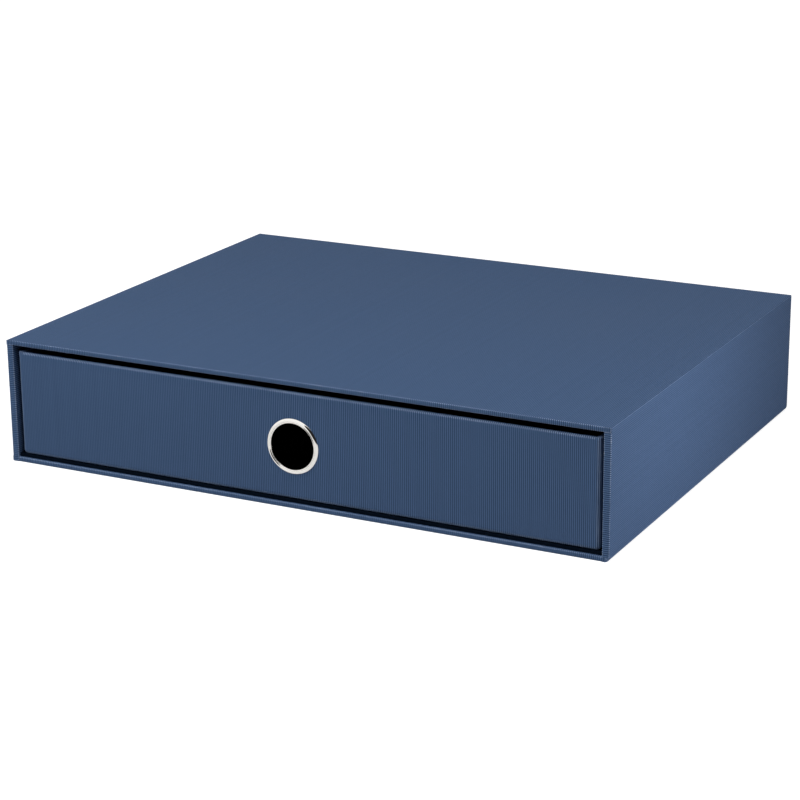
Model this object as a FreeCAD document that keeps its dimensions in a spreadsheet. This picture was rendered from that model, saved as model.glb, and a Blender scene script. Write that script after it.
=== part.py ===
"""A desk file box with one drawer: a flat case closed at the back, and a tray that slides in it.

The case is glued up from board panels, two plies thick at the sides. A ribbed covering paper is wrapped
round its sides and top and turned in over the front edges. The drawer is a tray of the same board and
paper, with a metal ring set round the finger hole in its front wall. Both have a smooth dark lining, and
the drawer slides on a card in the floor of the case.

Sizes are in millimetres. X runs to the right, Y to the back and Z up. The origin is the middle of the
underside, so the front of the case is at -Y.
"""

import FreeCAD, Part
import os

import Sketcher

DRIVING_SIZES = {
    # Outside of the case
    "case_width": (332, "case, left to right"),
    "case_depth": (255, "case, front to back"),
    "case_height": (65, "case, underside to top"),
    # Stock that the case and the drawer are made of
    "board": (2.0, "board panels"),
    "side_ply": (1.2, "second ply inside each side of the case"),
    "paper": (0.3, "covering paper and lining paper"),
    "slide_card": (1.6, "card in the floor of the case, on which the drawer slides"),
    # Rounding of covered edges
    "fold_radius": (1.8, "board at an edge where it is folded"),
    "rim_radius": (0.7, "board along the rim of the drawer"),
    "edge_radius": (0.5, "paper over an edge where the board is cut"),
    # Paper that is turned over an edge
    "case_turn_in": (15, "turned in over the front edges of the case"),
    "turn_in_gap": (1.6, "between the ring's washer and the paper turned in over the rim of the drawer"),
    "base_flange": (15, "turned under a base, beside the sheet that covers it"),
    "rear_margin": (4, "turned onto the back of the case, beside the sheet that covers it"),
    # Fit of the drawer in the case
    "drawer_side_play": (1.8, "gap between the drawer and each side of the case"),
    "drawer_top_play": (3.5, "gap between the rim of the drawer and the case"),
    "drawer_rear_play": (0.3, "gap behind the closed drawer"),
    "drawer_set_back": (1.4, "front of the drawer, behind the front edges of the case"),
    "card_set_back": (1.4, "front of the card, behind the front edges of the case"),
    # Ring round the finger hole
    "ring_bore_radius": (11.75, "inside of the ring"),
    "ring_flange_width": (2.5, "flange of the ring, bore to rim"),
    "ring_flange_height": (0.95, "flange of the ring, in front of the paper"),
    "ring_lip_radius": (0.7, "rounding from the bore to the flange"),
    "ring_metal": (0.4, "sheet metal of the ring and the washer"),
    "ring_roll_width": (1.4, "rear edge of the ring, rolled out over the washer"),
    "ring_hole_play": (0.15, "gap between the ring and the holes that it passes"),
    # Reach of a cutting block past the surface that it cuts
    "overrun": (1, "reach past a cut surface"),
    # Largest rounding of a board's edge, as a share of the board
    "fold_limit_share": (0.9, "at a fold"),
    "rim_limit_share": (0.45, "at the rim, where both edges are rounded"),
}

DERIVED_SIZES = {
    # Rounding of the boards, and of the paper over them
    "board_fold": "min(fold_radius; fold_limit_share * board)",
    "board_rim": "min(rim_radius; rim_limit_share * board)",
    "paper_fold": "board_fold + paper",
    "paper_rim": "board_rim + paper",
    "paper_edge": "min(edge_radius; 2 * paper)",
    # Wall thicknesses, paper included
    "flat_wall": "2 * paper + board",
    "side_wall": "flat_wall + side_ply",
    # Planes of the case
    "front_plane": "-case_depth / 2",
    "board_front": "front_plane + paper",
    "board_rear": "case_depth / 2 - paper",
    "bay_rear": "board_rear - board",
    "turn_in_end": "front_plane + case_turn_in",
    "floor_board_top": "paper + board",
    # Boards of the case
    "board_width": "case_width - 2 * paper",
    "board_depth": "case_depth - 2 * paper",
    "board_height": "case_height - 2 * paper",
    "inside_height": "board_height - 2 * board",
    "bay_width": "board_width - 2 * board - 2 * side_ply",
    "mouth_width": "case_width - 2 * side_wall",
    "mouth_height": "case_height - 2 * flat_wall",
    # Outside of the drawer
    "drawer_width": "mouth_width - 2 * drawer_side_play",
    "drawer_low": "flat_wall + slide_card",
    "drawer_height": "mouth_height - slide_card - drawer_top_play",
    "drawer_front": "front_plane + drawer_set_back",
    "drawer_depth": "bay_rear - paper - drawer_rear_play - drawer_front",
    "drawer_rim": "drawer_low + drawer_height",
    # Boards of the drawer
    "tray_width": "drawer_width - 2 * paper",
    "tray_depth": "drawer_depth - 2 * paper",
    "tray_front": "drawer_front + paper",
    "tray_low": "drawer_low + paper",
    "tray_floor": "tray_low + board",
    "tray_wall_height": "drawer_rim - paper - tray_floor",
    "tray_inside_width": "tray_width - 2 * board",
    "tray_inside_depth": "tray_depth - 2 * board",
    # Ring and washer
    "ring_height": "drawer_low + drawer_height / 2",
    "ring_outer_radius": "ring_bore_radius + ring_flange_width",
    "barrel_radius": "ring_bore_radius + ring_metal",
    "hole_radius": "barrel_radius + ring_hole_play",
    "ring_roll_radius": "barrel_radius + ring_roll_width",
    "washer_front": "2 * ring_metal",
    "ring_seat": "washer_front + flat_wall",
    "ring_top": "ring_seat + ring_flange_height",
    "ring_lip_edge": "ring_bore_radius + ring_lip_radius",
    "ring_lip_start": "ring_top - ring_lip_radius",
    "ring_crown": "ring_flange_width - ring_lip_radius",
    "ring_crown_radius": "(ring_crown ^ 2 + ring_flange_height ^ 2) / (2 * ring_flange_height)",
    # Paper turned in over the rim of the drawer, and the lining below it
    "lining_top": "ring_height + ring_outer_radius + turn_in_gap",
    "drawer_turn_in": "drawer_rim - lining_top",
    "tray_lined_height": "lining_top - tray_floor",
}

# A new length in a sketch, where the formula that sets it is more than one name
START = 1

FACES = (("left", "right"), ("front", "rear"), ("bottom", "top"))
UPRIGHT_EDGES = (("left", "front"), ("right", "front"), ("left", "rear"), ("right", "rear"))
BOTTOM_EDGES = (("left", "bottom"), ("right", "bottom"), ("front", "bottom"), ("rear", "bottom"))
TOP_EDGES = (("top",), ("left", "top"), ("right", "top"), ("front", "top"), ("rear", "top"))
FRONT_EDGES = (("front",), ("left", "front"), ("right", "front"), ("front", "top"), ("front", "bottom"))
REAR_EDGES = (("rear",), ("left", "rear"), ("right", "rear"), ("rear", "top"), ("rear", "bottom"))

doc = FreeCAD.newDocument("FileBox")
sizes = doc.addObject("Spreadsheet::Sheet", "Sizes")


def fill_sheet():
    """Writes each size to a row of the sheet: its name, its value or formula, and what it is."""
    rows = [(name, str(value), note) for name, (value, note) in DRIVING_SIZES.items()]
    rows += [(name, "=" + formula, "worked out") for name, formula in DERIVED_SIZES.items()]
    for row, (name, content, note) in enumerate(rows, start=1):
        sizes.set(f"A{row}", name)
        sizes.set(f"B{row}", content)
        sizes.set(f"C{row}", note)
        sizes.setAlias(f"B{row}", name)
    doc.recompute()


def bind(thing, prop, formula):
    """Ties a property of an object to a formula written in the names of the sheet."""
    expression = ""
    word = ""
    for letter in formula + " ":
        if letter.isalnum() or letter == "_":
            word += letter
            continue
        known = word in DRIVING_SIZES or word in DERIVED_SIZES
        expression += ("Sizes." + word if known else word) + letter
        word = ""
    thing.setExpression(prop, expression.strip())


def place(thing, corner):
    """Ties an object's place to three formulas."""
    for axis, formula in zip("xyz", corner):
        bind(thing, f"Placement.Base.{axis}", formula)


# Sketches

# A sketch's own origin and axes, as its constraints name them
ORIGIN = (-1, 1)
ACROSS_AXIS = -1
UPRIGHT_AXIS = -2


def new_sketch(body, name, role):
    """An empty sketch on one of the three planes that its own body starts with."""
    plane = next(plane for plane in body.Origin.OriginFeatures if plane.Role == role)
    sketch = body.newObject("Sketcher::SketchObject", name)
    sketch.AttachmentSupport = (plane, [""])
    sketch.MapMode = "FlatFace"
    return sketch


def tie_length(sketch, name, kind, first, second, formula):
    """A named distance between two points of a sketch, tied to a formula."""
    start = getattr(sizes, formula, START)
    number = sketch.addConstraint(Sketcher.Constraint(kind, *first, *second, start))
    sketch.renameConstraint(number, name)
    bind(sketch, "Constraints." + name, formula)


def tie_radius(sketch, name, curve, formula):
    """The named radius of a circle or arc of a sketch, tied to a formula."""
    start = getattr(sizes, formula, START)
    number = sketch.addConstraint(Sketcher.Constraint("Radius", curve, start))
    sketch.renameConstraint(number, name)
    bind(sketch, "Constraints." + name, formula)


def add_rectangle(sketch, across, along):
    """A rectangle with one corner at the sketch's origin, its two sides tied to formulas."""
    corners = [FreeCAD.Vector(x, y, 0) for x, y in ((0, 0), (1, 0), (1, 1), (0, 1))]
    for start, end in zip(corners, corners[1:] + corners[:1]):
        sketch.addGeometry(Part.LineSegment(start, end), False)
    for side, run in enumerate(("Horizontal", "Vertical", "Horizontal", "Vertical")):
        sketch.addConstraint(Sketcher.Constraint("Coincident", side, 2, (side + 1) % 4, 1))
        sketch.addConstraint(Sketcher.Constraint(run, side))
    sketch.addConstraint(Sketcher.Constraint("Coincident", 0, 1, *ORIGIN))
    tie_length(sketch, "across", "DistanceX", (0, 1), (0, 2), across)
    tie_length(sketch, "along", "DistanceY", (1, 1), (1, 2), along)


def add_circle(sketch, radius, across, along):
    """A circle whose radius and centre are tied to formulas."""
    sketch.addGeometry(Part.Circle(FreeCAD.Vector(1, 1, 0), FreeCAD.Vector(0, 0, 1), 1), False)
    tie_radius(sketch, "radius", 0, radius)
    tie_length(sketch, "across", "DistanceX", ORIGIN, (0, 3), across)
    tie_length(sketch, "along", "DistanceY", ORIGIN, (0, 3), along)


def arc_middle(start, end, radius):
    """The middle of an arc that bulges to the left of the way from its start to its end."""
    chord = end - start
    half = chord.Length / 2
    left = FreeCAD.Vector(-chord.y, chord.x, 0).normalize()
    return start + chord / 2 + left * (radius - (radius**2 - half**2) ** 0.5)


def add_profile(sketch, corners):
    """A closed outline. Each corner has two sizes, across and up, and the radius of an arc to the next or None."""
    points = [
        FreeCAD.Vector(*(getattr(sizes, size) if size else 0 for size in corner[:2]), 0) for corner in corners
    ]
    for side, (start, end, corner) in enumerate(zip(points, points[1:] + points[:1], corners)):
        if corner[2]:
            middle = arc_middle(start, end, getattr(sizes, corner[2]))
            curve = Part.Arc(start, middle, end)
        else:
            curve = Part.LineSegment(start, end)
        sketch.addGeometry(curve, False)
    for side, (across, up, radius) in enumerate(corners):
        before = (side - 1) % len(corners)
        # An arc that runs clockwise is stored the other way round, so its start is its second point
        here = (side, 2 if radius else 1)
        there = (before, 1 if corners[before][2] else 2)
        sketch.addConstraint(Sketcher.Constraint("Coincident", *there, *here))
        for size, name, kind, axis in (
            (across, "across", "DistanceX", UPRIGHT_AXIS),
            (up, "up", "DistanceY", ACROSS_AXIS),
        ):
            if size:
                tie_length(sketch, f"{name}_{side}", kind, ORIGIN, here, size)
            else:
                sketch.addConstraint(Sketcher.Constraint("PointOnObject", *here, axis))
        if radius:
            tie_radius(sketch, f"radius_{side}", side, radius)


# Solids


def new_body(name):
    """An empty body, labelled with its name."""
    body = doc.addObject("PartDesign::Body", name)
    body.Label = name
    return body


def faces_beside(edge, limits):
    """The outer faces of a block that the middle of an edge lies on, such as {"right", "bottom"}."""
    lows = (limits.XMin, limits.YMin, limits.ZMin)
    highs = (limits.XMax, limits.YMax, limits.ZMax)
    found = set()
    for value, low, high, pair in zip(edge.CenterOfMass, lows, highs, FACES):
        for face, name in zip((low, high), pair):
            if abs(value - face) < Part.Precision.approximation():
                found.add(name)
    return found


def round_edges(body, radius, picked):
    """Rounds the edges of a block. Each picked edge is named by the outer faces that it lies on."""
    doc.recompute()
    block = body.Tip
    limits = block.Shape.BoundBox
    wanted = [set(faces) for faces in picked]
    edges = [
        f"Edge{number}"
        for number, edge in enumerate(block.Shape.Edges, start=1)
        if faces_beside(edge, limits) in wanted
    ]
    fillet = body.newObject("PartDesign::Fillet", f"{body.Name}_{radius}")
    fillet.Base = (block, edges)
    bind(fillet, "Radius", radius)


def add_block(name, corner, size):
    """A rectangular body, with its low corner and its size given by formulas."""
    body = new_body(name)
    outline = new_sketch(body, name + "_outline", "XY_Plane")
    add_rectangle(outline, size[0], size[1])
    pad = body.newObject("PartDesign::Pad", name + "_thickness")
    pad.Profile = outline
    bind(pad, "Length", size[2])
    place(body, corner)
    return body


def add_turned(name, corners):
    """A body of revolution round the middle of the finger hole, its outline measured forward from its rear end."""
    body = new_body(name)
    outline = new_sketch(body, name + "_outline", "XY_Plane")
    add_profile(outline, corners)
    turned = body.newObject("PartDesign::Revolution", name + "_turned")
    turned.Profile = outline
    turned.ReferenceAxis = (outline, ["V_Axis"])
    turned.Angle = 360
    body.Placement.Rotation = FreeCAD.Rotation(FreeCAD.Vector(0, 0, 1), 180)
    place(body, ("0", "drawer_front + ring_seat", "ring_height"))
    return body


def combine(kind, name, base, tool):
    """A boolean of two objects, labelled with its name. The kind is Cut, Common or Fuse."""
    result = doc.addObject("Part::" + kind, name)
    result.Base = base
    result.Tool = tool
    result.Label = name
    return result


# Case


def case_boards():
    """The board panels of the case: the sides stand between base and top, and the back between the sides."""
    base = add_block(
        "case_base_board", ("-board_width / 2", "board_front", "paper"), ("board_width", "board_depth", "board")
    )
    round_edges(base, "board_fold", [("right", "bottom")])
    top = add_block(
        "case_top_board",
        ("-board_width / 2", "board_front", "paper + board_height - board"),
        ("board_width", "board_depth", "board"),
    )
    back = add_block(
        "case_rear_board",
        ("board - board_width / 2", "bay_rear", "floor_board_top"),
        ("board_width - 2 * board", "board", "inside_height"),
    )
    panels = [base, top, back]
    outer = ("board", "board_depth", "inside_height")
    inner = ("side_ply", "board_depth - board", "inside_height")
    for side, outer_left, inner_left in (
        ("left", "-board_width / 2", "board - board_width / 2"),
        ("right", "board_width / 2 - board", "bay_width / 2"),
    ):
        panels.append(
            add_block(f"case_{side}_board", (outer_left, "board_front", "floor_board_top"), outer)
        )
        panels.append(
            add_block(f"case_{side}_liner", (inner_left, "board_front", "floor_board_top"), inner)
        )
    return panels


def case_papers():
    """The covering sheets of the case, its lining and the card in its floor."""
    outside = add_block(
        "case_outside", ("-case_width / 2", "front_plane", "0"), ("case_width", "case_depth", "case_height")
    )
    round_edges(outside, "paper_fold", [("right", "bottom")])
    cut_edges = (("left", "bottom"), ("left", "top"), ("right", "top"))
    round_edges(outside, "paper_edge", cut_edges + FRONT_EDGES + REAR_EDGES)
    boards = add_block(
        "case_boards_outside",
        ("-board_width / 2", "board_front", "paper"),
        ("board_width", "board_depth", "board_height"),
    )
    round_edges(boards, "board_fold", [("right", "bottom")])
    turn_in = add_block(
        "case_turn_in_space",
        ("-bay_width / 2", "board_front", "floor_board_top"),
        ("bay_width", "turn_in_end - board_front", "inside_height"),
    )
    mouth = add_block(
        "case_mouth",
        ("-mouth_width / 2", "front_plane - overrun", "flat_wall"),
        ("mouth_width", "case_turn_in + overrun", "mouth_height"),
    )
    under = add_block(
        "case_base_sheet_area",
        ("base_flange - case_width / 2", "front_plane - overrun", "-overrun"),
        ("case_width - 2 * base_flange", "case_depth + 2 * overrun", "rear_margin + overrun"),
    )
    behind = add_block(
        "case_rear_sheet",
        ("rear_margin - case_width / 2", "board_rear", "rear_margin"),
        ("case_width - 2 * rear_margin", "paper", "case_height - 2 * rear_margin"),
    )
    shell = combine("Cut", "case_paper_shell", outside, combine("Cut", "case_boards_core", boards, turn_in))
    paper = combine("Cut", "case_paper", shell, mouth)
    base_sheet = combine("Common", "case_base_sheet", paper, under)
    wrap = combine("Cut", "case_wrap", paper, under)
    cover = combine("Cut", "case_cover_sheet", wrap, behind)
    bay = add_block(
        "case_bay",
        ("-bay_width / 2", "turn_in_end", "floor_board_top"),
        ("bay_width", "bay_rear - turn_in_end", "inside_height"),
    )
    lined = add_block(
        "case_lined_bay",
        ("-mouth_width / 2", "turn_in_end - overrun", "flat_wall"),
        ("mouth_width", "bay_rear - turn_in_end - paper + overrun", "mouth_height"),
    )
    lining = combine("Cut", "case_lining_sheet", bay, lined)
    card = add_block(
        "case_slide_card",
        ("-mouth_width / 2", "front_plane + card_set_back", "flat_wall"),
        ("mouth_width", "bay_rear - paper - front_plane - card_set_back", "slide_card"),
    )
    return [cover, base_sheet, behind, lining, card]


# Drawer


def pierce(board):
    """Bores the finger hole through the front board of the drawer."""
    outline = new_sketch(board, "finger_hole_outline", "XZ_Plane")
    add_circle(outline, "hole_radius", "tray_width / 2", "ring_height - tray_floor")
    hole = board.newObject("PartDesign::Pocket", "finger_hole")
    hole.Profile = outline
    hole.Type = "ThroughAll"
    hole.Midplane = True


def drawer_boards():
    """The board panels of the drawer: the walls stand on the base, the sides between front and rear."""
    base = add_block(
        "tray_base_board", ("-tray_width / 2", "tray_front", "tray_low"), ("tray_width", "tray_depth", "board")
    )
    round_edges(base, "board_fold", UPRIGHT_EDGES + BOTTOM_EDGES)
    panels = [base]
    for side, near in (("front", "tray_front"), ("rear", "tray_front + tray_depth - board")):
        wall = add_block(
            f"tray_{side}_board",
            ("-tray_width / 2", near, "tray_floor"),
            ("tray_width", "board", "tray_wall_height"),
        )
        round_edges(wall, "board_fold", [("left", side), ("right", side)])
        round_edges(wall, "board_rim", [("top",), (side, "top"), ("left", "top"), ("right", "top")])
        panels.append(wall)
    pierce(panels[1])
    for side, left in (("left", "-tray_width / 2"), ("right", "tray_width / 2 - board")):
        wall = add_block(
            f"tray_{side}_board",
            (left, "tray_front + board", "tray_floor"),
            ("board", "tray_inside_depth", "tray_wall_height"),
        )
        round_edges(wall, "board_rim", [(side, "top")])
        panels.append(wall)
    return panels


def finger_hole_cutter():
    """A cylinder through the front wall of the drawer, as wide as the finger hole."""
    body = new_body("finger_hole_cutter")
    outline = new_sketch(body, "finger_hole_cutter_outline", "XZ_Plane")
    add_circle(outline, "hole_radius", "0", "0")
    pad = body.newObject("PartDesign::Pad", "finger_hole_cutter_length")
    pad.Profile = outline
    bind(pad, "Length", "flat_wall + 2 * overrun")
    place(body, ("0", "drawer_front + flat_wall + overrun", "ring_height"))
    return body


def drawer_papers():
    """The covering sheets of the drawer and its lining."""
    outside = add_block(
        "drawer_outside",
        ("-drawer_width / 2", "drawer_front", "drawer_low"),
        ("drawer_width", "drawer_depth", "drawer_height"),
    )
    round_edges(outside, "paper_fold", UPRIGHT_EDGES + BOTTOM_EDGES)
    round_edges(outside, "paper_rim", TOP_EDGES)
    boards = add_block(
        "drawer_boards_outside",
        ("-tray_width / 2", "tray_front", "tray_low"),
        ("tray_width", "tray_depth", "board + tray_wall_height"),
    )
    round_edges(boards, "board_fold", UPRIGHT_EDGES + BOTTOM_EDGES)
    round_edges(boards, "board_rim", TOP_EDGES)
    turn_in = add_block(
        "drawer_turn_in_space",
        ("-tray_inside_width / 2", "tray_front + board", "drawer_rim - drawer_turn_in"),
        ("tray_inside_width", "tray_inside_depth", "drawer_turn_in + overrun"),
    )
    opening = add_block(
        "drawer_opening",
        ("paper - tray_inside_width / 2", "drawer_front + flat_wall", "drawer_rim - drawer_turn_in - overrun"),
        ("tray_inside_width - 2 * paper", "tray_inside_depth - 2 * paper", "drawer_turn_in + 2 * overrun"),
    )
    under = add_block(
        "tray_base_sheet",
        ("base_flange - drawer_width / 2", "drawer_front + base_flange", "drawer_low"),
        ("drawer_width - 2 * base_flange", "drawer_depth - 2 * base_flange", "paper"),
    )
    hole = finger_hole_cutter()
    shell = combine("Cut", "tray_paper_shell", outside, combine("Cut", "tray_boards_core", boards, turn_in))
    paper = combine("Cut", "tray_paper", shell, opening)
    wrap = combine("Cut", "tray_wrap", paper, under)
    cover = combine("Cut", "tray_cover_sheet", wrap, hole)
    inside = add_block(
        "tray_inside",
        ("-tray_inside_width / 2", "tray_front + board", "tray_floor"),
        ("tray_inside_width", "tray_inside_depth", "tray_lined_height"),
    )
    lined = add_block(
        "tray_lined_inside",
        ("paper - tray_inside_width / 2", "drawer_front + flat_wall", "tray_floor + paper"),
        ("tray_inside_width - 2 * paper", "tray_inside_depth - 2 * paper", "tray_lined_height + overrun"),
    )
    lining = combine("Cut", "tray_lining_sheet", combine("Cut", "tray_lining", inside, lined), hole)
    return [cover, under, lining]


def finger_ring():
    """The ring in the finger hole, and the washer that its rear edge is rolled over."""
    ring = add_turned(
        "pull_ring",
        [
            ("ring_bore_radius", None, None),
            ("ring_bore_radius", "ring_lip_start", "ring_lip_radius"),
            ("ring_lip_edge", "ring_top", "ring_crown_radius"),
            ("ring_outer_radius", "ring_seat", None),
            ("barrel_radius", "ring_seat", None),
            ("barrel_radius", "ring_metal", None),
            ("ring_roll_radius", "ring_metal", None),
            ("ring_roll_radius", None, None),
        ],
    )
    washer = add_turned(
        "ring_washer",
        [
            ("hole_radius", "ring_metal", None),
            ("hole_radius", "washer_front", None),
            ("ring_outer_radius", "washer_front", None),
            ("ring_outer_radius", "ring_metal", None),
        ],
    )
    return [ring, washer]


# Build


def check_document():
    """Stops if any object of the document failed, or has no sound shape."""
    for thing in doc.Objects:
        if "Invalid" in thing.State or "Error" in thing.State:
            raise RuntimeError(f"{thing.Name} failed: {thing.State}")


def write_parts(pieces):
    """Checks the shape of each piece and writes it to a file named by its label."""
    for piece in pieces:
        if piece.Shape.isNull() or not piece.Shape.isValid():
            raise RuntimeError(f"{piece.Label} has no sound shape")
    os.makedirs("parts", exist_ok=True)
    for piece in pieces:
        piece.Shape.exportStep(f"parts/{piece.Label}.step")
        print(f"{piece.Label}: {len(piece.Shape.Solids)} solid, {piece.Shape.Volume:.1f} mm3")


fill_sheet()
all_pieces = case_boards() + case_papers() + drawer_boards() + drawer_papers() + finger_ring()
doc.recompute()
check_document()
write_parts(all_pieces)
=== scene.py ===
"""A desk file box with one drawer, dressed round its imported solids.

The case and the drawer are board, wrapped in navy paper with fine embossed ribs. Each wrapped sheet comes
from one tree of Geometry Nodes, which lays a row of folds along an outline and presses in the valleys
between the ribs. The ring round the finger hole is turned. Boards, linings, the card and the washer keep
their own solids, under new finishes.

Everything is in metres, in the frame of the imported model: X to the right, Y to the back, Z up.
"""

from __future__ import annotations

import logging
import math
from dataclasses import dataclass, field, replace
from enum import Enum

import bmesh
import bpy
from mathutils import Matrix, Vector

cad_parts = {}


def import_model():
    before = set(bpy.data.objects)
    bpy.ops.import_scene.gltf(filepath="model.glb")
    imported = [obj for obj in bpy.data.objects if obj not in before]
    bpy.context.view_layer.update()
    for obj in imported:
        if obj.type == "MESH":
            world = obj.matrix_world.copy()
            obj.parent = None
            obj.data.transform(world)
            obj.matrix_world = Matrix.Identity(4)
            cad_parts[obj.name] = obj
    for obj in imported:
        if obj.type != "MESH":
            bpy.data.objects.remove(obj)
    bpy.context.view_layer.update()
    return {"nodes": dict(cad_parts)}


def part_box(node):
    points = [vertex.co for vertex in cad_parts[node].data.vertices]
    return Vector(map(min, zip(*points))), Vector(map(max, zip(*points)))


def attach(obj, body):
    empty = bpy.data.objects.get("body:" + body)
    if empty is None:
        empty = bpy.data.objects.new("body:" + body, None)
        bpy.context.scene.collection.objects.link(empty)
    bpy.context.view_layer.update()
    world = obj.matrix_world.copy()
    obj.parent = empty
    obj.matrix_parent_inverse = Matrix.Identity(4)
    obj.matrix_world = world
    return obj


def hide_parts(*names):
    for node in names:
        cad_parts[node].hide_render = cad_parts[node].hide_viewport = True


MM = 0.001
LOG = logging.getLogger("file_box")

X = Vector((1, 0, 0))
Y = Vector((0, 1, 0))
Z = Vector((0, 0, 1))
FAR = 1.0
HAIR = 1e-9
WELD = 0.004 * MM
WHITE = (1.0, 1.0, 1.0, 1.0)
# How much wear and painted highlight the paper has in the middle of a corner, and what each millimetre of its
# radius adds.
EDGE_WEAR_AND_HIGHLIGHT = 0.34
EDGE_WEAR_AND_HIGHLIGHT_PER_MM = 0.16

Socket = bpy.types.NodeSocket
Material = bpy.types.Material
Thing = bpy.types.Object
Pair = tuple[float, float]
Profile = list[Pair]


class Slot(Enum):
    """The material slots of the pieces."""

    BOARD = "greyboard"
    RIBBED = "ribbed_paper"
    LINING = "lining_paper"
    CARD = "black_card"
    RING = "ring_metal"
    WASHER = "washer_metal"


class Body(Enum):
    """The bodies that pieces ride on."""

    CASE = "case"
    DRAWER = "drawer"


class Sheet(Enum):
    """The values that a ribbed sheet's mesh holds at each point for its finish, by name."""

    RIB = "rib"
    ALONG = "along"
    EDGE = "edge"


def linked(name: str, data: bpy.types.ID) -> Thing:
    """A new object in the scene.

    Args:
        name: its name.
        data: its mesh, lamp or camera.

    Returns:
        The object.
    """
    thing = bpy.data.objects.new(name, data)
    bpy.context.scene.collection.objects.link(thing)
    return thing


def angles(start: float, end: float, steps: int) -> list[float]:
    """Angles in radians, at even steps from one to another in degrees, both of them included."""
    return [math.radians(start + (end - start) * number / steps) for number in range(steps + 1)]


# Node building


class Nodes:
    """A node tree under construction: adds nodes and links by short calls."""

    def __init__(self, tree: bpy.types.NodeTree) -> None:
        """Takes the geometry or shader tree to build in."""
        self.tree = tree

    def add(self, kind: str, settings: dict | None = None, **inputs: object) -> bpy.types.Node:
        """Adds a node, sets its properties and feeds its inputs.

        Args:
            kind: the node's type name.
            settings: properties of the node, by name.
            **inputs: values or sockets by the input's name, with _ for a space; in_N is input number N.

        Returns:
            The new node.
        """
        node = self.tree.nodes.new(kind)
        for name, value in (settings or {}).items():
            setattr(node, name, value)
        for name, value in inputs.items():
            key = int(name[3:]) if name.startswith("in_") else name.replace("_", " ")
            self.feed(node.inputs[key], value)
        return node

    def feed(self, socket: Socket, value: object) -> None:
        """Links an output to an input socket, or sets the socket's own value.

        Args:
            socket: the input.
            value: an output socket, a node whose first output is meant, or a plain value.
        """
        if isinstance(value, bpy.types.Node):
            value = value.outputs[0]
        if isinstance(value, Socket):
            self.tree.links.new(value, socket)
        else:
            socket.default_value = value

    def math(self, operation: str, *values: object) -> Socket:
        """The output of a Math node, such as ADD, with its operands as sockets or numbers."""
        inputs = {f"in_{number}": value for number, value in enumerate(values)}
        return self.add("ShaderNodeMath", {"operation": operation}, **inputs).outputs[0]

    def scaled(self, vector: object, factor: object) -> Socket:
        """A vector times a number."""
        return self.add("ShaderNodeVectorMath", {"operation": "SCALE"}, in_0=vector, Scale=factor).outputs[0]

    def mixed(self, factor: object, first: object, second: object) -> Socket:
        """Two colours mixed, with the factor as the share of the second."""
        node = self.add("ShaderNodeMix", {"data_type": "RGBA"}, in_0=factor, in_6=first, in_7=second)
        return node.outputs[2]

    def ramp(self, value: object, reach: tuple, ends: tuple = (0.0, 1.0)) -> bpy.types.Node:
        """A value mapped from one span of numbers or sockets to another, and held within its ends."""
        limits = {"From_Min": reach[0], "From_Max": reach[1], "To_Min": ends[0], "To_Max": ends[1]}
        return self.add("ShaderNodeMapRange", Value=value, **limits)

    def brightness(self, *parts: tuple[object, float]) -> object:
        """A factor near 1, from several noises about their middle.

        Args:
            *parts: each noise's socket and how far it changes the brightness.

        Returns:
            The factor's socket.
        """
        result: object = 1.0
        for noise, strength in parts:
            centred = self.math("SUBTRACT", noise, 0.5)
            result = self.math("ADD", result, self.math("MULTIPLY", centred, 2 * strength))
        return result


def new_group(name: str, kind: str, inputs: dict[str, object], outputs: dict[str, str]) -> bpy.types.NodeTree:
    """An empty node group with named sockets.

    Args:
        name: the group's name.
        kind: GeometryNodeTree or ShaderNodeTree.
        inputs: socket type, such as Float, or (socket type, default value), by name.
        outputs: socket type by name.

    Returns:
        The group.
    """
    group = bpy.data.node_groups.new(name, kind)
    for label, wanted in inputs.items():
        sort, default = wanted if isinstance(wanted, tuple) else (wanted, None)
        socket = group.interface.new_socket(label, in_out="INPUT", socket_type=f"NodeSocket{sort}")
        if default is not None:
            socket.default_value = default
    for label, sort in outputs.items():
        group.interface.new_socket(label, in_out="OUTPUT", socket_type=f"NodeSocket{sort}")
    return group


def new_material(name: str) -> tuple[Material, Nodes, bpy.types.Node]:
    """A material with its shader alone.

    Args:
        name: the material's name.

    Returns:
        The material, the builder of its node tree, and its Principled shader.
    """
    material = bpy.data.materials.new(name)
    material.use_nodes = True
    return material, Nodes(material.node_tree), material.node_tree.nodes["Principled BSDF"]


# Finishes


def fibre_group() -> bpy.types.NodeTree:
    """The shader group for fibres and marks: fine specks, slow clouds and the height of the surface.

    Returns:
        The group, with inputs Vector, Grain (specks per metre) and Cloud (clouds per metre), and outputs
        Speck, Cloud and Height, each from 0 to 1.
    """
    group = new_group(
        "paper_fibres",
        "ShaderNodeTree",
        {"Vector": "Vector", "Grain": ("Float", 3000.0), "Cloud": ("Float", 9.0)},
        {"Speck": "Float", "Cloud": "Float", "Height": "Float"},
    )
    nodes = Nodes(group)
    source = nodes.add("NodeGroupInput").outputs
    half_grain = nodes.math("MULTIPLY", source["Grain"], 0.5)
    noises = {
        "Speck": {"Scale": source["Grain"], "Detail": 3.0, "Roughness": 0.6},
        "Cloud": {"Scale": source["Cloud"], "Detail": 4.0, "Roughness": 0.55},
        "Height": {"Scale": half_grain, "Detail": 5.0, "Roughness": 0.7, "Distortion": 1.5},
    }
    result = nodes.add("NodeGroupOutput").inputs
    for name, inputs in noises.items():
        nodes.feed(result[name], nodes.add("ShaderNodeTexNoise", Vector=source["Vector"], **inputs))
    return group


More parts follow.
